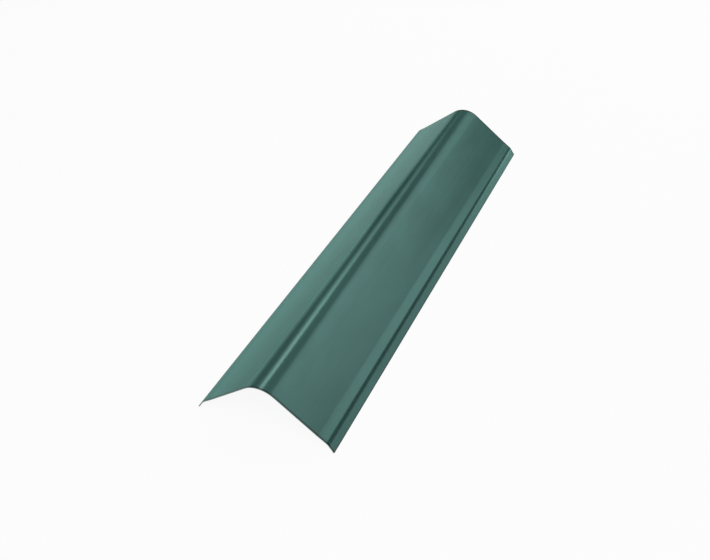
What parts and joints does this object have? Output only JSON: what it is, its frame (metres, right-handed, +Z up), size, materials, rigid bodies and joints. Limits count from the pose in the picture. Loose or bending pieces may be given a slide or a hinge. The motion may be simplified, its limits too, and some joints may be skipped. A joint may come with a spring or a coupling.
{
  "type": "verge flashing",
  "caption": "Straight strip of rigid sheet with a rounded crest, flat wings and turned-down lips along its free edges, to cover the verge of a roof.",
  "frame": {"origin": "on the floor below the crest, at the middle of the length", "axes": "+Y along the strip, +X across it, +Z up through the crest"},
  "size_m": [0.2582, 1, 0.0965],
  "materials": {
    "green_sheet": "satin"
  },
  "bodies": {
    "root": {"verge_flashing": "green_sheet"}
  },
  "joints": []
}
